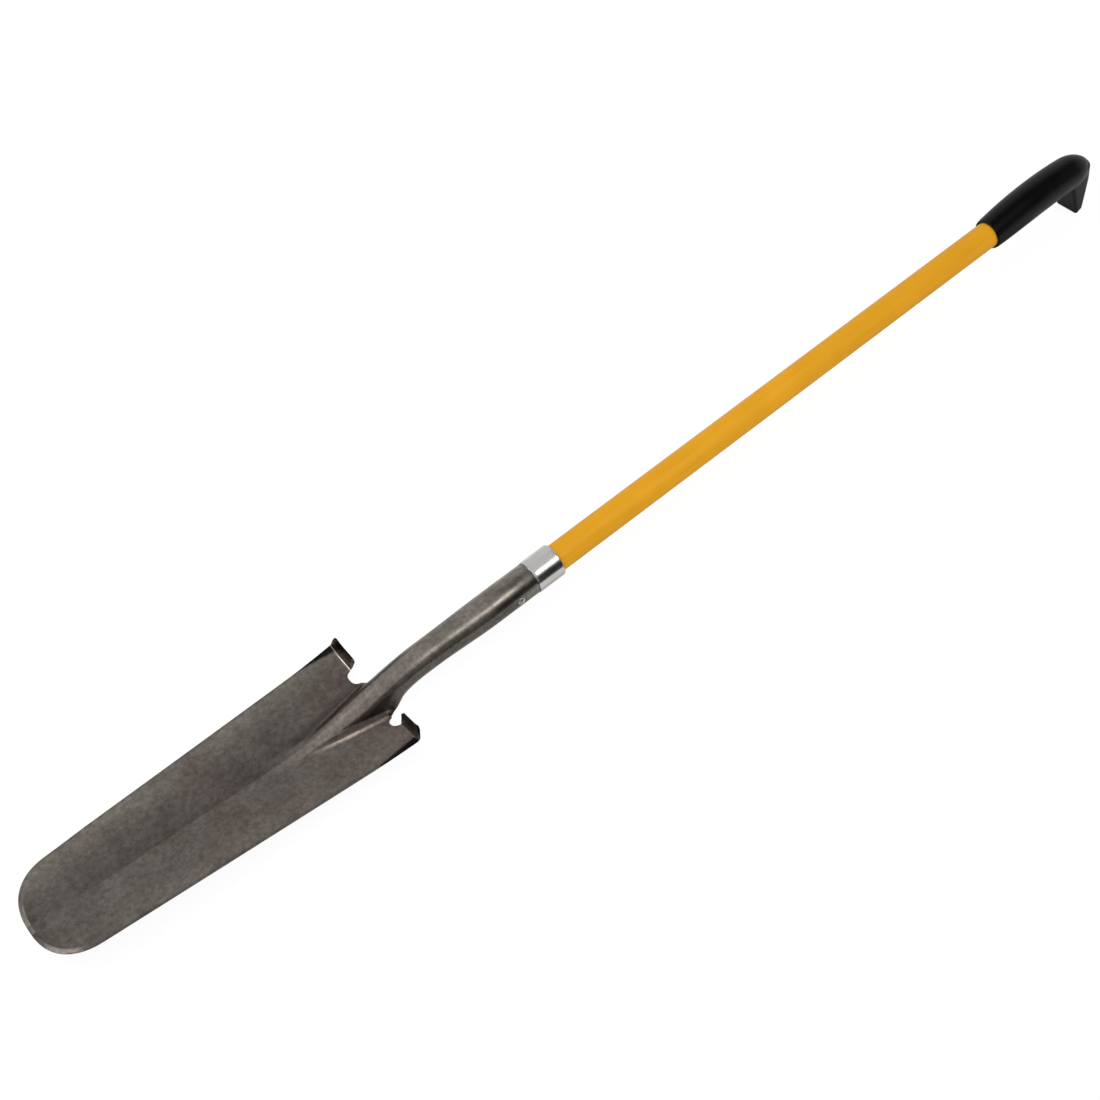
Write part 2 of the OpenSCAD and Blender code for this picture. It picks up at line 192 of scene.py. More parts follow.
def placed(points):
    """Points of the tool frame in millimetres as points of the row frame in metres."""
    p = np.asarray(points, float)
    c, s = math.cos(REST_TILT), math.sin(REST_TILT)
    out = np.empty_like(p)
    out[..., 0] = p[..., 0] * c - p[..., 2] * s - REST_MID
    out[..., 1] = p[..., 1]
    out[..., 2] = p[..., 0] * s + p[..., 2] * c - REST_FLOOR
    return out / 1000


def unplaced(points):
    """Points of the row frame in metres as points of the tool frame in millimetres."""
    x, y, z = (np.asarray(points, float) * 1000 + (REST_MID, 0, REST_FLOOR)).T
    c, s = math.cos(REST_TILT), math.sin(REST_TILT)
    return np.stack((x * c + z * s, y, z * c - x * s), 1)


def clamp01(v):
    return min(max(v, 0.0), 1.0)


def clip01(values):
    return np.clip(values, 0, 1)


def smooth(v):
    u = clamp01(v)
    return u * u * (3 - 2 * u)


def mix(a, b, v):
    return a + (b - a) * v


def round_off(u, n):
    return max(1 - clamp01(u) ** n, 0) ** (1 / n)


# Shape of the blade; d is the distance below the tread line, positive towards the tip
def keel_z(d):
    return -KEEL_DEPTH + d * math.tan(LIFT)


def wing_rise(d):
    return mix(DISH_TREADS, DISH_TIP, d / BLADE_LENGTH)


def straight_half(d):
    return mix(BLADE_WIDTH / 2, TIP_WIDTH / 2, d / BLADE_LENGTH)


def tip_run(d):
    return clamp01((d - ROUND_START) / TIP_LENGTH)


def half_width(d):
    return straight_half(d) * round_off(tip_run(d), TIP_SQUARENESS)


def frog_left(d):
    return clamp01(1 - d / FROG_LENGTH)


def fall(d):
    return math.atan(wing_rise(d))


def foot_y(d):
    """Half width of the frog, where its fillets run out in the wings."""
    return min(mix(KEEL_FOOT, FROG_FOOT, frog_left(d)), half_width(d) / 2)


def foot_z(d):
    return keel_z(d) + foot_y(d) * wing_rise(d)


def fillet_r(d):
    return min(mix(KEEL_FILLET, FROG_FILLET, frog_left(d) ** FILLET_FADE), FILLET_MOST * foot_y(d))


def fillet_drop(d):
    return fillet_r(d) * (1 - math.cos(fall(d)))


def crest_z(d):
    """Crest line that the top of the tube follows down onto the keel."""
    run = smooth((d + CREST_LEAD) / (CREST_LEAD + FROG_LENGTH))
    return mix(SOCKET_R, foot_z(d) - fillet_drop(d), run)


def section(d):
    """Crown radius, turn of the sheet and length of straight flank in the frog's section."""
    r = fillet_r(d)
    y = foot_y(d) - r * math.sin(fall(d))
    z = crest_z(d) - foot_z(d) + fillet_drop(d)
    if z < LEAST_HEIGHT:
        turn = 2 * math.atan(min(z, -LEAST_HEIGHT) / y)
        return y / math.sin(turn) - r, turn, 0.0
    full = (y * y + z * z) / (2 * z) - r
    crown_r = mix(full, min(FROG_CROWN, full), clamp01(1 - d / FROG_LENGTH / STRAIGHT_SHARE))
    both = crown_r + r
    straight = math.sqrt(max(y * y + z * z - 2 * both * z, 0))
    return crown_r, math.atan2(z - both, y) + math.pi / 2 - math.atan2(straight, both), straight


TREADS_TURN = section(0)[1]
TREAD_REACH = TREAD_LENGTH * math.cos(fall(0))
TREAD_SHARE = 1 - TREAD_REACH / (BLADE_WIDTH / 2 - foot_y(0))


def crown(r, turn, top):
    """Points (y, z, heading) from the middle outwards; heading is the sheet's fall from level."""
    steps = [turn * i / CROWN_STEPS for i in range(CROWN_STEPS + 1)]
    return [(r * math.sin(h), top - r * (1 - math.cos(h)), h) for h in steps]


def flank(start, d):
    """Straight flank and fillet, with the points closer together in the fillet."""
    r, turn, straight = fillet_r(d), start[2], section(d)[2]
    arc = r * (turn + fall(d))
    out = []
    for i in range(1, FLANK_STEPS + 1):
        run = (straight + FILLET_WEIGHT * arc) * i / FLANK_STEPS
        s = min(run, straight)
        h = turn - (turn + fall(d)) * max(run - straight, 0) / FILLET_WEIGHT / arc
        out.append((start[0] + s * math.cos(turn) + r * (math.sin(turn) - math.sin(h)),
                    start[1] - s * math.sin(turn) - r * (math.cos(h) - math.cos(turn)), h))
    return out


def wing(start, d):
    """Flat wing whose outer edge curls up beside the treads."""
    half = half_width(d)
    tread_in = mix(start[0], half, TREAD_SHARE)
    edge_in = max(half - GROUND_EDGE, (tread_in + half) / 2)
    curl_from = half - min(CURL_WIDTH, half / 2)
    lift = CURL_HEIGHT * clamp01(1 - d / CURL_LENGTH) ** CURL_FADE
    spans = ((start[0], tread_in, LAND_STEPS),
             (tread_in, edge_in, WING_STEPS),
             (edge_in, half, EDGE_STEPS))
    out = []
    for y in [mix(a, b, i / n) for a, b, n in spans for i in range(1, n + 1)]:
        u = clamp01((y - curl_from) / (half - curl_from))
        slope = wing_rise(d) + 2 * lift * u / (half - curl_from)
        z = start[1] + (y - start[0]) * wing_rise(d) + lift * u * u
        out.append((y, z, -math.atan(slope)))
    return out


def blade_half(d):
    r, turn, _ = section(d)
    top = crown(r, turn, crest_z(d))
    side = flank(top[-1], d)
    return top + side + wing(side[-1], d)


def at_seat(d):
    return TREAD_X - d > -COLLAR_LENGTH - SHOULDER / 2


def tube_r(d):
    start = ROLL_LENGTH + NECK_PLAIN
    if at_seat(d):
        return SPIGOT_R
    if -d < start:
        return mix(FROG_CROWN, NECK_D / 2, smooth(-d / start))
    return mix(NECK_D / 2, SOCKET_R, smooth((-d - start) / NECK_TAPER))


def neck_half(d):
    """Section of the neck, whose flanks roll from the shape at the treads to a closed tube."""
    treads_half = blade_half(0)[:CROWN_STEPS + FLANK_STEPS + 1]
    if d == 0:
        return treads_half
    rolled = 1 - (1 - clamp01(-d / ROLL_LENGTH)) ** ROLL_FADE
    r = tube_r(d)
    turn_step = (math.pi - SEAM_HALF - TREADS_TURN) / FLANK_STEPS
    chord = 2 * r * math.sin(turn_step / 2)
    row = crown(r, TREADS_TURN, r if at_seat(d) else crest_z(d))
    for i in range(1, FLANK_STEPS + 1):
        before, here = treads_half[CROWN_STEPS + i - 1], treads_half[CROWN_STEPS + i]
        flat = math.hypot(here[0] - before[0], here[1] - before[1])
        length = mix(flat, chord, rolled ** ROLL_LAG)
        heading = mix(here[2], TREADS_TURN + turn_step * i, rolled)
        y, z, last = row[-1]
        middle = (last + heading) / 2
        row.append((y + length * math.cos(middle), z - length * math.sin(middle), heading))
    return row


def ground(d, y):
    """Depth ground off the front face near the outline of the tip."""
    reach = (tip_run(d) ** TIP_SQUARENESS
             + (abs(y) / straight_half(d)) ** TIP_SQUARENESS) ** (1 / TIP_SQUARENESS)
    inside = (1 - reach) * TIP_WIDTH / 2
    return ((SHEET - EDGE_THICKNESS) * clamp01(1 - inside / GROUND_EDGE)
            * smooth((d - ROUND_START + TIP_LENGTH) / TIP_LENGTH))


def sheet_rows(d, half):
    """Front row and back row of points across the sheet, from the left edge to the right edge."""
    row = half[:0:-1] + [(-y, z, -h) for y, z, h in half]
    wall = SPIGOT_R - POLE_R - SOCKET_GAP if at_seat(d) else SHEET

    def sunk(p, depth):
        return (TREAD_X - d, p[0] - depth * math.sin(p[2]), p[1] - depth * math.cos(p[2]))
    return [sunk(p, ground(d, p[0])) for p in row], [sunk(p, wall) for p in row]


# Meshes and objects
class Stitch:
    """Collects grids of points in the tool frame and welds them to one mesh."""
    WELD = 2e-6

    def __init__(self):
        self.points, self.faces = [], []

    def grid(self, rows, flip=False):
        base, n = len(self.points), len(rows[0])
        for row in rows:
            self.points.extend(row)
        for i in range(len(rows) - 1):
            for j in range(n - 1):
                a = base + i * n + j
                face = (a, a + n, a + n + 1, a + 1)
                self.faces.append(face[::-1] if flip else face)

    def sheet(self, front, back):
        self.grid(front)
        self.grid(back, flip=True)

    def sides(self, front, back):
        """Strips that close a sheet along its first and last columns."""
        for column in (0, -1):
            strip = [[row[column] for row in face] for face in (front, back)]
            self.grid(strip, flip=column < 0)

    def mesh(self, name):
        data = bpy.data.meshes.new(name)
        data.from_pydata([tuple(p) for p in placed(self.points)], [], self.faces)
        welded = bmesh.new()
        welded.from_mesh(data)
        bmesh.ops.remove_doubles(welded, verts=welded.verts, dist=self.WELD)
        bmesh.ops.recalc_face_normals(welded, faces=welded.faces)
        welded.to_mesh(data)
        welded.free()
        return data


def mesh_of(made, name):
    """Mesh data from a bmesh, which is then freed."""
    data = bpy.data.meshes.new(name)
    made.to_mesh(data)
    made.free()
    return data


def closed_skin(name, rings):
    """Mesh through rings of points in the tool frame, closed at both ends."""
    made = bmesh.new()
    rows = [[made.verts.new(p) for p in placed(ring)] for ring in rings]
    n = len(rows[0])
    for low_row, high_row in zip(rows, rows[1:]):
        for j in range(n):
            k = (j + 1) % n
            made.faces.new((low_row[j], low_row[k], high_row[k], high_row[j]))
    made.faces.new(rows[0][::-1])
    made.faces.new(rows[-1])
    bmesh.ops.recalc_face_normals(made, faces=made.faces)
    return mesh_of(made, name)


def square(name, half=0.5):
    """Flat square mesh, a metre wide unless told otherwise."""
    made = bmesh.new()
    bmesh.ops.create_grid(made, x_segments=1, y_segments=1, size=half)
    return mesh_of(made, name)


def linked(name, data):
    """New object of the scene."""
    made = bpy.data.objects.new(name, data)
    bpy.context.scene.collection.objects.link(made)
    return made


def add_piece(name, data, replaced):
    piece = linked(name, data)
    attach(piece, "root")
    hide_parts(replaced)
    return piece


def apply_modifiers(piece):
    """Replaces the piece's mesh by the result of its modifiers."""
    bpy.context.view_layer.update()
    graph = bpy.context.evaluated_depsgraph_get()
    data = bpy.data.meshes.new_from_object(piece.evaluated_get(graph))
    piece.modifiers.clear()
    piece.data = data


def smooth_shaded(data, angle):
    data.shade_smooth()
    data.set_sharp_from_angle(angle=math.radians(angle))


def round_cutter(name, start, end, radius, end_radius, segments=64):
    """Round bar or cone between two points of the tool frame, used only to cut with."""
    a, b = Vector(placed(start)), Vector(placed(end))
    turn = (b - a).to_track_quat("Z", "Y").to_matrix().to_4x4()
    made = bmesh.new()
    bmesh.ops.create_cone(made, cap_ends=True, segments=segments, radius1=radius / 1000,
                          radius2=end_radius / 1000, depth=(b - a).length,
                          matrix=Matrix.Translation((a + b) / 2) @ turn)
    return linked(name, mesh_of(made, name))


def slot_cutter(name, start, end, radius, depth, steps=32):
    """Upright bar with round ends between two points (x, y), used only to cut with."""
    (x0, y0), (x1, y1) = start, end
    lean = math.atan2(y1 - y0, x1 - x0)
    turns = [lean + t for t in np.linspace(math.pi / 2, 3 * math.pi / 2, steps + 1)]
    outline = [(x0 + radius * math.cos(t), y0 + radius * math.sin(t)) for t in turns]
    outline += [(x1 - radius * math.cos(t), y1 - radius * math.sin(t)) for t in turns]
    rings = [[(x, y, z) for x, y in outline] for z in (-depth, depth)]
    return linked(name, closed_skin(name, rings))


def cut_away(piece, bars):
    for bar in bars:
        cut = piece.modifiers.new("cut", "BOOLEAN")
        cut.operation, cut.object, cut.solver = "DIFFERENCE", bar, "EXACT"
    apply_modifiers(piece)
    for bar in bars:
        data = bar.data
        bpy.data.objects.remove(bar)
        bpy.data.meshes.remove(data)


def soften_edges(piece, width, angle, segments=2):
    bevel = piece.modifiers.new("bevel", "BEVEL")
    bevel.width, bevel.segments = width / 1000, segments
    bevel.limit_method, bevel.angle_limit = "ANGLE", math.radians(angle)
    bevel.harden_normals = False
    apply_modifiers(piece)


# Lightness of the steel: number of sections read, least widths, and widths over which zones blur
TONE_ROWS = 200
LEAST_FLANK = 1.0
LEAST_GROUND = 0.05
TREAD_BLUR = 4.0
CROWN_BLUR = 2.0
KEEL_BLUR = 1.5
TREAD_SHADE_BLUR = 1.5
ZONE_FADE = 45.0

# Tube and crown of the frog, made lighter
CROWN_LIGHT = 0.55
CROWN_END = 135.0
CROWN_HALF = 8.5
TUBE_FADE = 30.0

# Wings: painted sheen, lighter towards their edges
SHEEN_LEFT = 0.5
SHEEN_RIGHT = 0.2
SHEEN_WIDTH = 32.0

# Painted highlights: a bright ridge at the foot of the frog's right flank, and a bright fold of
# the left tread
RIDGE_HIGHLIGHT = 4.5
RIDGE_WIDTH = 1.7
RIDGE_END = 90.0
FOLD_HIGHLIGHT = 1.6
FOLD_D = -1.0
FOLD_WIDTH = 1.5

# Painted shade, tinted brown, on the frog's right flank, with a painted highlight by the crown:
# tone by share of the way from the crown to the foot
FLANK_SHARE = (0, 0.03, 0.07, 0.15, 0.6, 0.95, 1)
FLANK_LIGHT_AND_SHADE = (1, 1.4, 1.4, 0.55, 0.55, 0.3, 1)
FLANK_SHADE_BROWN = (0, 0.04, 0.08)
FLANK_START = -20.0
FLANK_RISE = 10.0
FLANK_END = 80.0
FLANK_FADE = 20.0

# Painted shadow on the flaps and painted shade beside the treads' outer corners
TREAD_SHADE = 0.92
CORNER_SHADE_WIDTH = 7.0
CORNER_SHADE_LENGTH = 45.0

# Dark line along the frog's left foot
FOOT_SHADE = 0.45
FOOT_LEAST = 12.0
FOOT_OUT = 1.0
FOOT_WIDTH = 4.5
FOOT_END = 130.0

# Darker inner half of the left wing
LEFT_SHADE = 0.36
LEFT_WIDTH = 52.0
LEFT_START = 40.0
LEFT_RISE = 40.0
LEFT_END = 385.0
LEFT_FADE = 90.0

# Dark line along the outline, and the ground edge of the tip
EDGE_SHADE = 0.35
EDGE_REACH = 2.4
EDGE_BLUR = 1.6
GROUND_TONE = 0.95


def tone_head(data):
    """Stores the lightness of the steel, with its painted highlights and painted shade, as a
    colour on the points of the head.
    """
    place = np.empty(len(data.vertices) * 3)
    data.vertices.foreach_get("co", place)
    x, y, _ = unplaced(place.reshape(-1, 3)).T
    d, wide = TREAD_X - x, np.abs(y)
    left, right = y > 0, y < 0
    at = np.linspace(0, BLADE_LENGTH - 1, TONE_ROWS)
    crown_y = np.interp(d, at, [max(r * math.sin(turn), 0) for r, turn, _ in map(section, at)])
    foot = np.interp(d, at, [foot_y(a) for a in at])
    edge = np.interp(d, at, [straight_half(a) for a in at]) - wide
    below = clip01(d / TREAD_BLUR)
    on_tread = wide > BLADE_WIDTH / 2 - TREAD_LENGTH

    on_crown = clip01((np.maximum(crown_y, CROWN_HALF) - wide) / CROWN_BLUR + 0.5)
    on_crown *= clip01((CROWN_END - d) / ZONE_FADE)
    on_tube = clip01(-d / TUBE_FADE) * ~on_tread
    tone = 1 + CROWN_LIGHT * np.maximum(on_crown, on_tube)
    # Painted sheen: the wings are made lighter towards their edges, more on the left
    sheen = np.where(left, SHEEN_LEFT, SHEEN_RIGHT)
    tone *= 1 + sheen * below * clip01(1 - edge / SHEEN_WIDTH)
    # Painted highlight along the foot of the frog's right flank
    ridge = below * right * clip01((RIDGE_END - d) / ZONE_FADE)
    tone *= 1 + RIDGE_HIGHLIGHT * ridge * np.exp(-((wide - foot) / RIDGE_WIDTH) ** 2)
    # Painted highlight on the fold of the left tread
    fold = on_tread * left * clip01(1 - np.abs(d - FOLD_D) / FOLD_WIDTH)
    tone *= 1 + FOLD_HIGHLIGHT * fold

    # Painted shade on the frog's right flank, tinted brown, with a painted highlight just beside
    # the crown
    on_flank = right * clip01((d - FLANK_START) / FLANK_RISE)
    on_flank *= clip01((FLANK_END - d) / FLANK_FADE)
    share = (wide - crown_y) / np.maximum(foot - crown_y, LEAST_FLANK)
    tone *= 1 + on_flank * (np.interp(share, FLANK_SHARE, FLANK_LIGHT_AND_SHADE) - 1)
    brown = on_flank * (wide > crown_y) * (wide < foot)
    foot_line = below * left * clip01((FOOT_END - d) / ZONE_FADE)
    off_line = (wide - np.maximum(foot, FOOT_LEAST) - FOOT_OUT) / FOOT_WIDTH
    tone *= 1 - FOOT_SHADE * foot_line * np.exp(-off_line ** 2)
    inner = clip01(y / KEEL_BLUR) * clip01(1 - y / LEFT_WIDTH)
    inner *= clip01((d - LEFT_START) / LEFT_RISE) * clip01((LEFT_END - d) / LEFT_FADE)
    tone *= 1 - LEFT_SHADE * inner
    tone *= 1 - EDGE_SHADE * below * clip01((EDGE_REACH - edge) / EDGE_BLUR)
    # Painted shadow on the tread flaps, and painted shade beside the treads' outer corners
    flap = clip01((-d - TREAD_BEND) / TREAD_SHADE_BLUR) * on_tread
    corner_width = CORNER_SHADE_WIDTH * clip01(1 - d / CORNER_SHADE_LENGTH) * (d > FOLD_D)
    corner = clip01((corner_width - edge) / TREAD_SHADE_BLUR + 0.5) * (corner_width > 0)
    tone *= 1 - TREAD_SHADE * np.maximum(flap, corner)
    worn = np.array([ground(a, b) for a, b in zip(np.clip(d, 0, BLADE_LENGTH), y)])
    tone = np.where(worn > LEAST_GROUND, tone * GROUND_TONE, tone)

    layer = data.attributes.new("tone", "FLOAT_COLOR", "POINT")
    # The painted shade of the right flank is tinted brown here
    channels = [tone * (1 - loss * brown) for loss in FLANK_SHADE_BROWN]
    layer.data.foreach_set("color", np.stack((*channels, np.ones_like(tone)), 1).ravel())


# Head
def head_stations():
    """Places of the rows of points below the tread line, for the blade and for the neck."""
    tip_turns = np.radians(np.linspace(TIP_LAST_TURN, 0, TIP_ROWS))
    blade = ([ROUND_START + TIP_LENGTH * math.sin(a) for a in tip_turns]
             + list(np.linspace(ROUND_START, FROG_LENGTH, BLADE_ROWS)[1:-1])
             + list(np.linspace(FROG_LENGTH, 0, FROG_ROWS)))
    socket_end = TREAD_X + COLLAR_LENGTH
    neck = (list(-np.linspace(0, ROLL_LENGTH, ROLL_ROWS))
            + list(-ROLL_LENGTH - NECK_PLAIN - np.linspace(0, NECK_TAPER, TAPER_ROWS))
            + [socket_end + SHOULDER, socket_end, TREAD_X + COLLAR_LIP])
    return blade, neck


def tread_rows(base, radius):
    """Rows of points that carry the end row of a wing round the tread's bend and up its flap."""
    base = np.array(base)
    span = base[-1] - base[0]
    reach = np.linalg.norm(span)
    out = np.cross(span / reach, [1, 0, 0])
    share = np.linalg.norm(base - base[0], axis=1) / reach
    steps = [(TREAD_TURN * i / BEND_STEPS, 0.0, 0.0) for i in range(BEND_STEPS + 1)]
    for a in np.radians(np.linspace(0, 90, CORNER_ROWS)):
        steps.append((TREAD_TURN, TREAD_FLAP - TREAD_CORNER * (1 - math.sin(a)),
                      TREAD_CORNER * (1 - math.cos(a))))
    rows = []
    for turn, flap, inset in steps:
        along = radius * math.sin(turn) + flap * math.cos(turn)
        up = radius * (1 - math.cos(turn)) + flap * math.sin(turn)
        shift = (inset * (1 - 2 * share) / reach)[:, None] * span
        rows.append(base + shift + np.array([along, 0, 0]) + up * out)
    return rows


def head_mesh():
    """Blade, treads and neck as one closed sheet."""
    blade_at, neck_at = head_stations()
    front, back = zip(*(sheet_rows(d, blade_half(d)) for d in blade_at))
    neck_front, neck_back = zip(*(sheet_rows(d, neck_half(d)) for d in neck_at))
    last, outer = len(front[0]) - 1, WING_STEPS + EDGE_STEPS
    made = Stitch()
    made.sheet(front, back)
    made.sheet(neck_front, neck_back)
    made.sides(front, back)
    made.grid([front[0], back[0]], flip=True)
    for first, end in ((outer, outer + LAND_STEPS), (last - outer - LAND_STEPS, last - outer)):
        made.grid([front[-1][first:end + 1], back[-1][first:end + 1]])
    made.grid([neck_front[-1], neck_back[-1]])
    made.sides(neck_front, neck_back)
    for first, end in ((0, outer), (last - outer, last)):
        tread_front = tread_rows(front[-1][first:end + 1], TREAD_BEND)
        tread_back = tread_rows(back[-1][first:end + 1], TREAD_BEND + SHEET)
        made.sheet(tread_front, tread_back)
        made.grid([tread_front[-1], tread_back[-1]])
        made.sides(tread_front, tread_back)
    return made.mesh("spade_head")


def head_cutters():
    """Bars that cut the notches, the flats under the rivet's heads and the rivet's hole."""
    notch_x = TREAD_X + NOTCH_RISE
    notch_y = BLADE_WIDTH / 2 - TREAD_REACH - NOTCH_LAND - NOTCH_D / 2
    notch_in = foot_y(0) + NOTCH_D / 2 - NOTCH_LAND
    flat_y = SOCKET_R - RIVET_FLAT
    flat_r = RIVET_HEAD_D / 2 + FLAT_GAP
    bars = []
    for side, inner in ((1, notch_in), (-1, notch_y - NOTCH_RUN)):
        bars.append(slot_cutter("notch", (notch_x, side * notch_y), (notch_x, side * inner),
                                NOTCH_D / 2, NOTCH_CUT))
        bars.append(round_cutter("flat", (RIVET_X, side * flat_y, 0),
                                 (RIVET_X, side * (flat_y + FLAT_CUT), 0), flat_r, flat_r))
    bars.append(round_cutter("hole", (RIVET_X, -HOLE_REACH, 0), (RIVET_X, HOLE_REACH, 0),
                             RIVET_D / 2, RIVET_D / 2))
    return bars


def make_head():
    head = add_piece("spade_head", head_mesh(), "head")
    cut_away(head, head_cutters())
    soften_edges(head, HEAD_EASE, HEAD_EASE_ANGLE)
    smooth_shaded(head.data, HEAD_SHARP)
    tone_head(head.data)
    return head


# Collar: eased lower edge, rings up its side, and eased rim of the lip on the pole
EASE = 0.35
EASE_MIDDLE = (0.1, 0.12)
SIDE_ENDS = (4.0, 2.0)
SIDE_RINGS = 8
LIP_RINGS = 9
RIM_EASE = 0.15
RIM_DEPTH = 0.6


def lathe(name, profile, segments=128):
    """Mesh of revolution about the pole from (x, radius) points round a closed outline."""
    made = Stitch()
    rows = []
    for i in range(segments + 1):
        a = 2 * math.pi * (i % segments) / segments
        rows.append([(x, r * math.sin(a), r * math.cos(a)) for x, r in profile + profile[:1]])
    made.grid(rows)
    return made.mesh(name)


def make_collar():
    """Thin plated ring with a rolled lip on the pole and an eased lower edge."""
    lip_r = POLE_R + LIP_GAP
    bottom = -COLLAR_LENGTH
    outside = [(bottom, COLLAR_R - EASE), (bottom + EASE_MIDDLE[0], COLLAR_R - EASE_MIDDLE[1]),
               (bottom + EASE, COLLAR_R)]
    side = np.linspace(bottom + SIDE_ENDS[0], -LIP_ROUND - SIDE_ENDS[1], SIDE_RINGS)
    outside += [(x, COLLAR_R) for x in side]
    for a in np.radians(np.linspace(0, 90, LIP_RINGS)):
        outside.append((-LIP_ROUND * (1 - math.sin(a)), COLLAR_R - LIP_ROUND * (1 - math.cos(a))))
    outside += [(-RIM_EASE, lip_r + RIM_EASE), (-RIM_DEPTH, lip_r)]
    inside = [(-COLLAR_LIP, lip_r), (-COLLAR_LIP, SEAT_R), (bottom, SEAT_R)]
    ring_mesh = lathe("collar_ring", outside + inside)
    ring = add_piece("collar_ring", ring_mesh, "collar")
    smooth_shaded(ring.data, COLLAR_SHARP)
    return ring


# Grip: rings and levels of points, and the smoothing that melts barrel and hook together
BARREL_STEPS = 96
BARREL_RINGS = 40
DOME_RINGS = 22
DOME_TURNS = (4, 88)
NOSE_STEPS = 28
HOOK_LEVELS = 20
MELT_VOXEL = 0.0009
MELT_FACTOR = 0.5
MELT_ROUNDS = 8
FLARE_SEGMENTS = 96


def barrel_r(a):
    swell = math.sin(math.pi * clamp01(a / GRIP_LENGTH / SWELL_SHARE))
    return POLE_R + GRIP_WALL + GRIP_SWELL * math.sqrt(max(swell, 0))


def barrel_z(a):
    return PALM_SHIFT * math.sin(math.pi * a / GRIP_LENGTH / PALM_SHARE)


def barrel_ring(a):
    """Ring of points round the barrel at a distance from the grip's mouth."""
    dome = round_off((a - GRIP_LENGTH + DOME_LENGTH) / DOME_LENGTH, DOME_SQUARENESS)
    r = barrel_r(a) * dome - max(MOUTH_EASE - a, 0)
    turns = [2 * math.pi * i / BARREL_STEPS for i in range(BARREL_STEPS)]
    return [(POLE_VISIBLE + a, -r * math.sin(t), barrel_z(a) + r * math.cos(t)) for t in turns]


def hook_ring(z):
    """Outline of the hook at a height: flat front with eased corners, and a round nose."""
    slim = clamp01((BELLY_Z - z) / (HOOK_DROP + BELLY_Z))
    half = HOOK_WIDTH / 2
    front_x = GRIP_END - mix(HOOK_ROOT_SET, HOOK_SET, clamp01(-z / HOOK_DROP))
    side = GRIP_END - mix(NOSE_BELLY, HOOK_SET - HOOK_FOOT, slim ** 2)
    nose = mix(NOSE_BELLY, NOSE_FOOT, slim)
    rise = SOLE_RISE if z <= -HOOK_DROP else 0.0
    outline = [(front_x, half - HOOK_CORNER), (front_x, HOOK_CORNER - half),
               (front_x + HOOK_CORNER, -half)]
    for i in range(NOSE_STEPS + 1):
        t = -math.pi / 2 + math.pi * i / NOSE_STEPS
        outline.append((side + nose * math.cos(t), half * math.sin(t)))
    outline.append((front_x + HOOK_CORNER, half))
    return [(x, y, z + rise * (x - front_x)) for x, y in outline]


def make_grip():
    """Barrel and hook melted together, smoothed as a moulding, and bored for the pole."""
    dome_start = GRIP_LENGTH - DOME_LENGTH
    dome_turns = np.radians(np.linspace(*DOME_TURNS, DOME_RINGS))
    stations = ([0, MOUTH_EASE] + list(np.linspace(0, dome_start, BARREL_RINGS)[1:])
                + [dome_start + DOME_LENGTH * math.sin(a) for a in dome_turns])
    barrel = closed_skin("end_grip", [barrel_ring(a) for a in stations])
    grip = add_piece("end_grip", barrel, "grip")
    levels = [mix(HOOK_SOLE - HOOK_DROP, HOOK_TOP, i / HOOK_LEVELS)
              for i in range(HOOK_LEVELS + 1)]
    hook = linked("hook", closed_skin("hook", [hook_ring(z) for z in [-HOOK_DROP] + levels]))
    joined = grip.modifiers.new("join", "BOOLEAN")
    joined.operation, joined.object, joined.solver = "UNION", hook, "EXACT"
    melt = grip.modifiers.new("melt", "REMESH")
    melt.mode, melt.voxel_size = "VOXEL", MELT_VOXEL
    even = grip.modifiers.new("even", "SMOOTH")
    even.factor, even.iterations = MELT_FACTOR, MELT_ROUNDS
    apply_modifiers(grip)
    bpy.data.objects.remove(hook)
    bore = round_cutter("bore", (POLE_VISIBLE - BORE_LEAD, 0, 0), (GRIP_END - GRIP_END_WALL, 0, 0),
                        POLE_R + BORE_GAP, POLE_R + BORE_GAP)
    flare_r = POLE_R + MOUTH_OPEN * (MOUTH_LEAD + MOUTH_FLARE) / MOUTH_FLARE
    flare = round_cutter("flare", (POLE_VISIBLE - MOUTH_LEAD, 0, 0),
                         (POLE_VISIBLE + MOUTH_FLARE, 0, 0), flare_r, POLE_R, FLARE_SEGMENTS)
    cut_away(grip, [bore, flare])
    smooth_shaded(grip.data, GRIP_SHARP)
    return grip


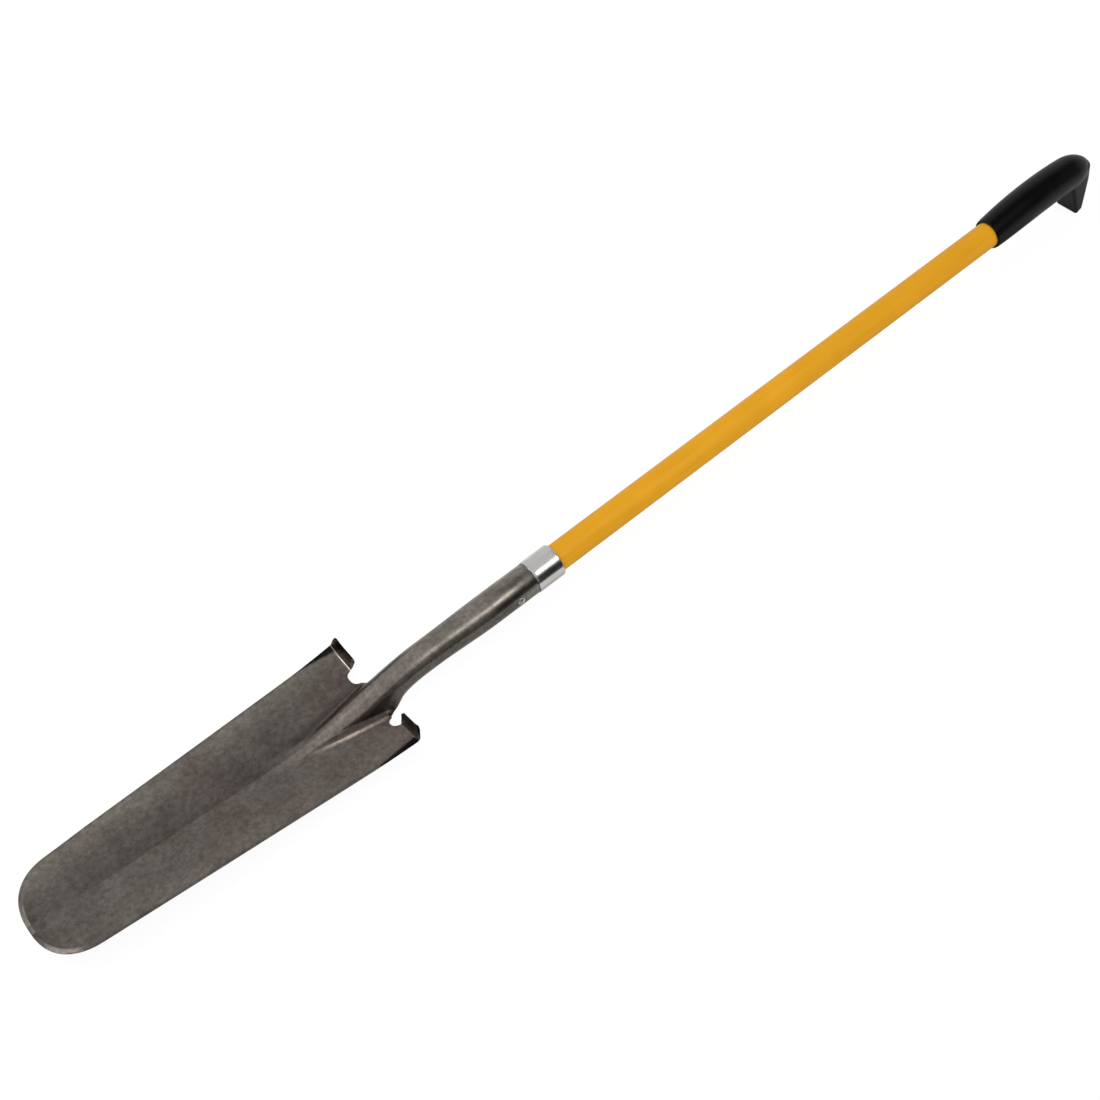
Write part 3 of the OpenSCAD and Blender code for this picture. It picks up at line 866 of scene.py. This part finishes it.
# Materials
class Recipe:
    """Node material being put together round its Principled shader."""

    def __init__(self, name):
        self.material = bpy.data.materials.new(name)
        self.material.use_nodes = True
        self.nodes, self.links = self.material.node_tree.nodes, self.material.node_tree.links
        self.shader = self.nodes["Principled BSDF"]
        self.output = self.nodes["Material Output"]

    def fix(self, socket, value):
        self.shader.inputs[socket].default_value = value

    def feed(self, socket, source):
        self.links.new(source, self.shader.inputs[socket])

    def coordinates(self, scale=(1, 1, 1)):
        """Object coordinates turned into the tool frame, X along the pole, and stretched."""
        place = self.nodes.new("ShaderNodeTexCoord")
        turned = self.nodes.new("ShaderNodeMapping")
        turned.inputs["Rotation"].default_value = (0, REST_TILT, 0)
        self.links.new(place.outputs["Object"], turned.inputs["Vector"])
        stretched = self.nodes.new("ShaderNodeMapping")
        stretched.inputs["Scale"].default_value = scale
        self.links.new(turned.outputs["Vector"], stretched.inputs["Vector"])
        return stretched.outputs["Vector"]

    def noise(self, vector, scale, detail, roughness):
        made = self.nodes.new("ShaderNodeTexNoise")
        made.inputs["Scale"].default_value = scale
        made.inputs["Detail"].default_value = detail
        made.inputs["Roughness"].default_value = roughness
        self.links.new(vector, made.inputs["Vector"])
        return made.outputs["Fac"]

    def ramp(self, value, *stops):
        """Colour ramp through (position, colour) stops."""
        made = self.nodes.new("ShaderNodeValToRGB")
        points = made.color_ramp.elements
        for point, (position, colour) in zip(points, (stops[0], stops[-1])):
            point.position, point.color = position, (*colour, 1)
        for position, colour in stops[1:-1]:
            points.new(position).color = (*colour, 1)
        self.links.new(value, made.inputs["Fac"])
        return made.outputs["Color"]

    def multiply(self, share, a, b):
        made = self.nodes.new("ShaderNodeMix")
        made.data_type, made.blend_type = "RGBA", "MULTIPLY"
        sockets = {socket.identifier: socket for socket in made.inputs}
        sockets["Factor_Float"].default_value = share
        self.links.new(a, sockets["A_Color"])
        self.links.new(b, sockets["B_Color"])
        return next(o for o in made.outputs if o.identifier == "Result_Color")

    def spread(self, value, low_end, high_end):
        made = self.nodes.new("ShaderNodeMapRange")
        made.inputs["To Min"].default_value = low_end
        made.inputs["To Max"].default_value = high_end
        self.links.new(value, made.inputs["Value"])
        return made.outputs["Result"]

    def bump(self, height, strength, distance, before=None):
        made = self.nodes.new("ShaderNodeBump")
        made.inputs["Strength"].default_value = strength
        made.inputs["Distance"].default_value = distance
        self.links.new(height, made.inputs["Height"])
        if before is not None:
            self.links.new(before, made.inputs["Normal"])
        return made.outputs["Normal"]

    def glow(self, level):
        """White emission of a given strength."""
        made = self.nodes.new("ShaderNodeEmission")
        made.inputs["Color"].default_value = (1, 1, 1, 1)
        made.inputs["Strength"].default_value = level
        return made.outputs["Emission"]


def head_steel():
    """Tempered sheet under thin lacquer: grey brown and mottled, its lightness, with painted
    highlights and painted shade, from tone_head.
    """
    steel = Recipe("head_steel")
    plain = steel.coordinates()
    along = steel.coordinates((0.12, 1, 1))
    patches = steel.noise(plain, 26, 5, 0.62)
    clouds = steel.noise(plain, 7, 3, 0.5)
    mottle = steel.noise(plain, 170, 3, 0.6)
    speckle = steel.noise(plain, 420, 3, 0.7)
    drawn = steel.noise(along, 420, 4, 0.65)
    base = steel.ramp(patches, (0.3, (0.118, 0.104, 0.094)), (0.5, (0.143, 0.128, 0.116)),
                      (0.7, (0.168, 0.151, 0.139)))
    tint = steel.ramp(clouds, (0.35, (0.94, 0.99, 0.93)), (0.5, (1, 1, 1)),
                      (0.65, (1.06, 0.97, 0.98)))
    colour = steel.multiply(0.85, base, tint)
    grain = steel.ramp(speckle, (0.35, (0.78, 0.78, 0.78)), (0.6, (1.1, 1.1, 1.1)))
    colour = steel.multiply(0.6, colour, grain)
    spots = steel.ramp(mottle, (0.35, (0.76, 0.76, 0.74)), (0.65, (1.24, 1.23, 1.21)))
    colour = steel.multiply(0.8, colour, spots)
    tone = steel.nodes.new("ShaderNodeAttribute")
    tone.attribute_name = "tone"
    steel.feed("Base Color", steel.multiply(1.0, colour, tone.outputs["Color"]))
    steel.fix("Metallic", 1.0)
    steel.feed("Roughness", steel.spread(patches, 0.25, 0.34))
    first = steel.bump(speckle, 0.12, 0.0003)
    steel.feed("Normal", steel.bump(drawn, 0.06, 0.0003, first))
    return steel.material


def plated_steel():
    """Bright plating, brushed round the ring."""
    plate = Recipe("plated_steel")
    round_ring = plate.coordinates((1, 0.03, 0.03))
    brushed = plate.noise(round_ring, 900, 4, 0.6)
    stains = plate.noise(plate.coordinates(), 60, 4, 0.6)
    bright = plate.ramp(stains, (0.3, (0.56, 0.55, 0.53)), (0.7, (0.66, 0.65, 0.635)))
    plate.feed("Base Color", bright)
    plate.fix("Metallic", 1.0)
    plate.feed("Roughness", plate.spread(stains, 0.16, 0.24))
    plate.feed("Normal", plate.bump(brushed, 0.03, 0.0002))
    return plate.material


def rivet_steel():
    """Hammered bright steel."""
    steel = Recipe("rivet_steel")
    marks = steel.noise(steel.coordinates(), 350, 4, 0.6)
    bright = steel.ramp(marks, (0.35, (0.45, 0.44, 0.42)), (0.65, (0.66, 0.65, 0.63)))
    steel.feed("Base Color", bright)
    steel.fix("Metallic", 1.0)
    steel.feed("Roughness", steel.spread(marks, 0.22, 0.4))
    steel.feed("Normal", steel.bump(marks, 0.2, 0.0003))
    return steel.material


def yellow_fibreglass():
    """Pigmented resin with faint glass strands along the pole."""
    resin = Recipe("yellow_fibreglass")
    strands = resin.noise(resin.coordinates((0.02, 1, 1)), 520, 4, 0.6)
    cast = resin.noise(resin.coordinates(), 14, 3, 0.5)
    yellow = resin.ramp(cast, (0.3, (0.735, 0.34, 0.007)), (0.7, (0.8, 0.375, 0.010)))
    lines = resin.ramp(strands, (0.35, (0.93, 0.92, 0.88)), (0.6, (1.02, 1.02, 1.03)))
    resin.feed("Base Color", resin.multiply(0.8, yellow, lines))
    resin.feed("Roughness", resin.spread(strands, 0.36, 0.48))
    resin.fix("Specular IOR Level", 0.16)
    resin.feed("Normal", resin.bump(strands, 0.05, 0.0003))
    return resin.material


def black_plastic():
    """Moulded plastic with a fine grain and slightly polished wear."""
    plastic = Recipe("black_plastic")
    plain = plastic.coordinates()
    grain = plastic.noise(plain, 900, 2, 0.5)
    wear = plastic.noise(plain, 30, 4, 0.6)
    black = plastic.ramp(wear, (0.3, (0.001, 0.001, 0.001)), (0.7, (0.0022, 0.002, 0.002)))
    plastic.feed("Base Color", black)
    plastic.feed("Roughness", plastic.spread(wear, 0.34, 0.44))
    plastic.fix("Specular IOR Level", 0.18)
    plastic.feed("Normal", plastic.bump(grain, 0.18, 0.0003))
    return plastic.material


def core_wood():
    """Plain wood with its grain along the pole."""
    wood = Recipe("core_wood")
    rings = wood.noise(wood.coordinates((0.05, 1, 1)), 240, 5, 0.6)
    wood.feed("Base Color", wood.ramp(rings, (0.3, (0.36, 0.22, 0.1)), (0.7, (0.56, 0.38, 0.19))))
    wood.feed("Roughness", wood.spread(rings, 0.55, 0.75))
    wood.feed("Normal", wood.bump(rings, 0.2, 0.0004))
    return wood.material


def dress(piece, material):
    piece.data.materials.clear()
    piece.data.materials.append(material)


# Camera at the photograph's place: rows are image right, image down and forward in the tool frame
CAMERA_AT = (-519.0759, -991.8110, 1442.9691)
CAMERA_ROWS = ((0.7678792856, -0.6216507615, -0.1546341924),
               (-0.5736432462, -0.5598491742, -0.5979149841),
               (0.2851224802, 0.5478313910, -0.7865023447))
FOCAL_PIXELS = 1700.0
FRAME_PIXELS = 1100.0
SENSOR = 36.0
CLIP_NEAR = 0.05
CLIP_FAR = 60


def make_camera():
    origin = placed((0, 0, 0))
    right, down, forward = (Vector(placed(row) - origin).normalized() for row in CAMERA_ROWS)
    data = bpy.data.cameras.new("camera")
    data.sensor_width, data.lens = SENSOR, FOCAL_PIXELS * SENSOR / FRAME_PIXELS
    data.clip_start, data.clip_end = CLIP_NEAR, CLIP_FAR
    camera = linked("camera", data)
    turn = Matrix((right, -down, -forward)).transposed().to_4x4()
    camera.matrix_world = Matrix.Translation(Vector(placed(CAMERA_AT))) @ turn
    bpy.context.scene.camera = camera


# Light of the white room, the white that the camera sees beyond the tool, and the floor in metres
ROOM_LEVEL = 0.76
BACKDROP_LEVEL = 1.04
FLOOR_HALF = 30
FLOOR_WHITE = 0.9
FLOOR_GLOW_SHARE = 0.9

# Lamps: place, aim, width and height in metres, and brightness
LAMPS = {
    "strip": ((0.6, -1.15, 1.65), (-0.1, 0, 0), 0.9, 0.55, 4.4),
    "fold_light": ((-1.5, 0.75, 1.75), (-0.34, 0.06, 0.03), 0.6, 0.6, 9.0),
}

# Cards that only reflections see: place, aim, width and height in metres, and brightness
CARDS = {
    "dark_side": ((-0.44, -0.45, 0.15), (-0.44, 0, 0.15), 2.1, 0.34, 0.03),
    "flank_card": ((-0.235, -0.35, 0.14), (-0.35, 0, 0.02), 0.25, 0.22, 0.25),
    "tip_card": ((-0.8, 0.055, 0.13), (-0.745, 0, 0), 0.15, 0.15, 0.3),
    "frog_shade": ((-0.32, 0.3, 0.06), (-0.32, 0, 0.06), 0.16, 0.13, 0.08),
    "dark_floor": ((0.07, -0.29, 0.002), (0.07, -0.29, 1), 0.76, 0.38, 0.05),
    "dim_ceiling": ((1.8, 0.5, 3.0), (1.8, 0.5, 0), 1.7, 2.4, 0.3),
    "grip_side": ((0.96, -0.4, 0.22), (0.96, 0, 0.22), 0.7, 0.26, 0.03),
    "grip_top": ((0.8, -0.2, 0.36), (0.8, -0.2, 0), 0.8, 0.6, 0.02),
    # under_neck and under_pole: grey sheets on the floor under the tool, painted shade that stands
    # in for its shadow as reflections see it
    "under_neck": ((-0.28, 0, 0.0015), (-0.28, 0, 1), 0.27, 0.16, 0.42),
    "under_pole": ((0.3, 0, 0.0015), (0.3, 0, 1), 0.74, 0.16, 0.3),
}


def aimed(at, toward):
    return (Vector(toward) - Vector(at)).to_track_quat("-Z", "Y").to_euler()


def make_lamp(name, at, toward, width, height, radiance):
    """Rectangular light of a given brightness, its width along X."""
    data = bpy.data.lights.new(name, "AREA")
    data.shape, data.size, data.size_y = "RECTANGLE", width, height
    data.energy = radiance * math.pi * width * height
    lamp = linked(name, data)
    lamp.location, lamp.rotation_euler = at, aimed(at, toward)


def make_card(name, at, toward, width, height, level):
    """Card of an even grey that only reflections see."""
    card = linked(name, square(name))
    card.location, card.rotation_euler, card.scale = at, aimed(at, toward), (width, height, 1)
    card.visible_camera = card.visible_diffuse = card.visible_shadow = False
    grey = Recipe(name)
    grey.links.new(grey.glow(level), grey.output.inputs["Surface"])
    dress(card, grey.material)


def make_floor():
    """Pale paper that the camera sees as nearly white, with the tool's soft shadow on it."""
    floor = linked("floor", square("floor", FLOOR_HALF))
    paper = Recipe("floor_paper")
    paper.fix("Base Color", (FLOOR_WHITE, FLOOR_WHITE, FLOOR_WHITE, 1))
    paper.fix("Roughness", 0.9)
    path = paper.nodes.new("ShaderNodeLightPath")
    both = paper.nodes.new("ShaderNodeMixShader")
    seen = paper.spread(path.outputs["Is Camera Ray"], 0.0, FLOOR_GLOW_SHARE)
    paper.links.new(seen, both.inputs["Fac"])
    paper.links.new(paper.shader.outputs["BSDF"], both.inputs[1])
    paper.links.new(paper.glow(BACKDROP_LEVEL), both.inputs[2])
    paper.links.new(both.outputs["Shader"], paper.output.inputs["Surface"])
    dress(floor, paper.material)


def make_world():
    """White room that lights the tool evenly, and is plain white behind it."""
    world = bpy.data.worlds.new("studio")
    world.use_nodes = True
    nodes, links = world.node_tree.nodes, world.node_tree.links
    room = nodes["Background"]
    room.inputs["Color"].default_value = (1, 1, 1, 1)
    seen = nodes.new("ShaderNodeMapRange")
    seen.inputs["To Min"].default_value = ROOM_LEVEL
    seen.inputs["To Max"].default_value = BACKDROP_LEVEL
    path = nodes.new("ShaderNodeLightPath")
    links.new(path.outputs["Is Camera Ray"], seen.inputs["Value"])
    links.new(seen.outputs["Result"], room.inputs["Strength"])
    bpy.context.scene.world = world


dress(make_head(), head_steel())
dress(make_collar(), plated_steel())
dress(make_grip(), black_plastic())
dress(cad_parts["rivet"], rivet_steel())
dress(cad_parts["pole"], yellow_fibreglass())
dress(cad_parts["core"], core_wood())
make_floor()
make_world()
for lamp_name, lamp_setup in LAMPS.items():
    make_lamp(lamp_name, *lamp_setup)
for card_name, card_setup in CARDS.items():
    make_card(card_name, *card_setup)
make_camera()
bpy.context.scene.view_settings.view_transform = "Standard"
